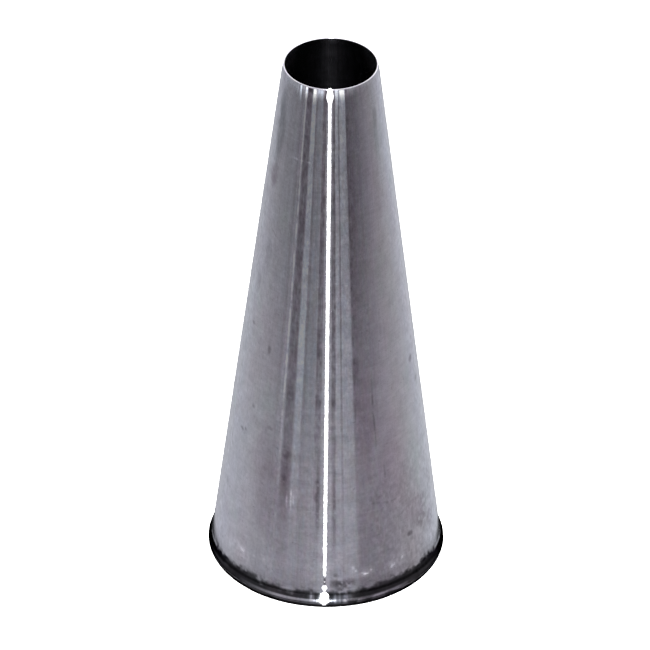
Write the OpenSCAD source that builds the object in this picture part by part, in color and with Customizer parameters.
// Plain round piping nozzle: a rolled and welded sheet-metal cone with a curled rim.
// It stands on the rim. The origin is at the centre of the rim's resting plane, +Z points
// to the mouth, and the seam lies on the -Y side.

/* [Cone] */
// Overall height, from the resting plane to the mouth
height = 61; // [45:0.5:75]
// Outer diameter of the wall's line just above the rim
base_d = 24.4; // [20:0.1:30]
// Outer diameter of the wall's line, carried up to the mouth plane
top_d = 10; // [7:0.1:14]
// Sheet thickness
sheet_t = 0.25; // [0.2:0.01:0.3]

/* [Mouth] */
// How far the reamed bore is opened beyond the cone's own inner radius
ream = 0.052; // [0.03:0.002:0.07]
// Height of the burnished band on the outside of the mouth
burnish_h = 1.1; // [0.6:0.1:2]
// How far the burnished edge leans inward at the top
burnish_in = 0.07; // [0.02:0.01:0.09]

/* [Rim] */
// Outer diameter of the curled rim
rim_d = 25.2; // [20.8:0.1:30.8]
// Outer radius of the curl
curl_r = 0.65; // [0.6:0.01:0.7]
// Elevation at which the flare turns into the curl
turn_deg = 35; // [30:1:40]
// How far round the curl is rolled, from the end of the flare
curl_sweep = 270; // [200:1:280]
// How much is dressed off the underside to leave a flat ring
dress = 0.03; // [0.02:0.005:0.05]

/* [Seam] */
// Gap between the two butted edges of the sheet
gap_w = 0.2; // [0.1:0.01:0.25]
// Width of the weld's cap on the outside
cap_w = 0.46; // [0.36:0.01:0.6]
// Height of the weld's cap
cap_h = 0.08; // [0.04:0.01:0.1]
// Width of the weld's root on the inside
root_w = 0.34; // [0.28:0.01:0.36]
// Height of the weld's root
root_h = 0.045; // [0.03:0.005:0.06]
// Height of the cap where it has been rolled down over the rim
rolled_h = 0.03; // [0.02:0.005:0.03]
// Width of the pool where the weld was finished, at the mouth
pool_w = 0.9; // [0.7:0.05:1.1]

/* [Hidden] */

$fn = 96;

// Cutting shapes: how far they overshoot, and a radius clear of the whole nozzle
past = 1;
far = rim_d;

// Sections are drawn as [radius, z].
function heading(angle) = [cos(angle), sin(angle)];

// The wall's outer line runs through (base_d/2, line_z) and (top_d/2, height).
line_z = 2 * curl_r;
half_deg = atan((base_d - top_d) / 2 / (height - line_z));
wall_normal = heading(half_deg);
wall_up = [-sin(half_deg), cos(half_deg)];
// Outer and inner radius of the wall at a height
function wall_out(z) = top_d / 2 + (height - z) * tan(half_deg);
function wall_in(z) = wall_out(z) - sheet_t / cos(half_deg);

// Mouth
bore_r = wall_in(height) + ream;
// Height at which the reamed bore runs out into the cone
ream_z = height - ream / tan(half_deg);
mouth_r = wall_out(height) - burnish_in;
burnish_z = height - burnish_h;
// Middle point of the burnished band's profile
shoulder = [wall_out(height) - 0.35 * burnish_in, height - 0.3 * burnish_h];
// How far the weld stands out at the foot and top of the burnished band
proud_foot = 0.12;
proud_top = 0.05;

// Rim: the flare is an arc that touches both the wall's line and the curl.
rim_r = rim_d / 2;
curl_c = [rim_r - curl_r, curl_r - dress];
flare_r = wall_normal * (curl_c + curl_r * heading(turn_deg) - [base_d / 2, line_z])
        / (1 - cos(turn_deg - half_deg));
flare_c = curl_c + (curl_r + flare_r) * heading(turn_deg);
// Where the flare leaves the wall, on the outer face
leave = flare_c - flare_r * wall_normal;

// Straight weld: distance up the wall from the flare to its start
run_in = 0.4;
// Pool: height above the wall, extra depth of its dome, and drop of its centre from the mouth
pool_h = 0.06;
pool_sink = 0.04;
pool_drop = 0.6;
// Rolled strip: width, and a height clear above it
rolled_w = cap_w - 0.06;
rolled_top = 5;
// The strip's straight part: thinning against the bend, and its reach below and above leave
strip_thin = 0.004;
strip_below = 0.05;
strip_above = 1.2;

// A length of bent sheet in section, between two angles about its bend centre
module bend(r_in, r_out, from_deg, to_deg) {
    intersection() {
        difference() {
            circle(r = r_out);
            circle(r = r_in);
        }
        sector(from_deg, to_deg, 2 * r_out);
    }
}
// A wide triangle fan from the origin, in steps of at most 60 degrees
module sector(from_deg, to_deg, reach) {
    steps = ceil((to_deg - from_deg) / 60);
    polygon(concat([[0, 0]], [
        for (i = [0:steps]) reach * heading(from_deg + (to_deg - from_deg) * i / steps)
    ]));
}

// The flare and curl in section, thickened by extra on both faces
module rim_bends(extra = 0) {
    translate(flare_c)
        bend(flare_r - extra, flare_r + sheet_t + extra, 180 + half_deg, 180 + turn_deg);
    translate(curl_c)
        bend(curl_r - sheet_t - extra, curl_r + extra, turn_deg - curl_sweep, turn_deg);
}
// Everything below the resting plane, in section
module underside() {
    translate([0, -2 * past]) square([far, 2 * past]);
}

// The wall in section, cut square to the sheet where the flare begins
module wall_section() {
    polygon([
        leave,
        [wall_out(burnish_z), burnish_z],
        shoulder,
        [mouth_r, height],
        [bore_r, height],
        [bore_r, ream_z],
        leave - sheet_t * wall_normal
    ]);
}

// The flare and curl in section, dressed flat underneath
module rim_section() {
    difference() {
        rim_bends();
        underside();
    }
}

// The gap between the butted edges
module seam_gap() {
    translate([-gap_w / 2, -far, -past]) cube([gap_w, far, height + 2 * past]);
}
// A section turned about the axis and left open at the seam
module rolled_sheet() {
    difference() {
        rotate_extrude() children();
        seam_gap();
    }
}

// Radius of the circle whose segment has this width and height
function segment_r(w, h) = (w * w / 4 + h * h) / (2 * h);

// The weld in section: x is the distance outward from the sheet's outer face,
// y runs across the weld.
module weld_lens() {
    cap_r = segment_r(cap_w, cap_h);
    root_r = segment_r(root_w, root_h);
    intersection() {
        translate([cap_h - cap_r, 0]) circle(r = cap_r);
        translate([-sheet_t - root_h + root_r, 0]) circle(r = root_r);
    }
}

// The weld along the straight wall, from just above the flare to past the mouth,
// built on the +X side
module weld_straight() {
    translate([leave[0], 0, leave[1]])
        rotate([0, -half_deg, 0])
            translate([0, 0, run_in])
                linear_extrude(height = (height - leave[1]) / cos(half_deg) + past)
                    weld_lens();
}

// The pool at the mouth, a low dome over the weld, on the outside only; built on the +X side
module weld_pool() {
    dome_r = segment_r(pool_w, pool_h + pool_sink);
    pool_z = height - pool_drop;
    // The core that trims the dome follows the middle of the sheet, this far either side
    // of the mouth plane.
    core_reach = 3;
    difference() {
        translate([wall_out(pool_z), 0, pool_z])
            rotate([0, -half_deg, 0])
                translate([pool_h - dome_r, 0, 0]) sphere(r = dome_r);
        translate([0, 0, height - core_reach])
            cylinder(r1 = wall_out(height - core_reach) - sheet_t / 2,
                     r2 = wall_out(height + core_reach) - sheet_t / 2,
                     h = 2 * core_reach);
    }
}

// The weld round the flare and the curl, rolled down with the sheet to a thin, even strip
module rolled_section() {
    // The strip up the wall is a hair thinner than the bend, and starts inside it.
    outer = leave + (rolled_h - strip_thin) * wall_normal;
    inner = leave - (sheet_t + rolled_h - strip_thin) * wall_normal;
    difference() {
        union() {
            polygon([
                outer - strip_below * wall_up,
                outer + strip_above * wall_up,
                inner + strip_above * wall_up,
                inner - strip_below * wall_up
            ]);
            rim_bends(rolled_h);
        }
        underside();
    }
}
module weld_rolled() {
    intersection() {
        rotate_extrude() rolled_section();
        translate([-rolled_w / 2, -far, -past]) cube([rolled_w, far, rolled_top + past]);
    }
}

// The space outside the burnished band, where the weld has been rolled down
module burnish_cut() {
    rotate_extrude() polygon([
        [wall_out(burnish_z) + proud_foot, burnish_z],
        [mouth_r + proud_top, height],
        [mouth_r + proud_top, height + past],
        [rim_r, height + past],
        [rim_r, burnish_z]
    ]);
}
// A wide slab, from a height upward
module slab(z, thick) {
    translate([-far, -far, z]) cube([2 * far, 2 * far, thick]);
}

module cone_wall() {
    color([0.62, 0.62, 0.66]) rolled_sheet() wall_section();
}

module rim_curl() {
    color([0.55, 0.55, 0.59]) rolled_sheet() rim_section();
}

module seam_weld() {
    color([0.9, 0.9, 0.92]) difference() {
        union() {
            rotate([0, 0, -90]) weld_straight();
            rotate([0, 0, -90]) weld_pool();
            weld_rolled();
        }
        rolled_sheet() {
            wall_section();
            rim_section();
        }
        burnish_cut();
        // The mouth plane, the reamed bore and the resting plane cut the weld too.
        slab(height, 4 * past);
        translate([0, 0, ream_z - past]) cylinder(r = bore_r, h = 4 * past);
        slab(-2 * past, 2 * past);
    }
}

cone_wall();
rim_curl();
seam_weld();
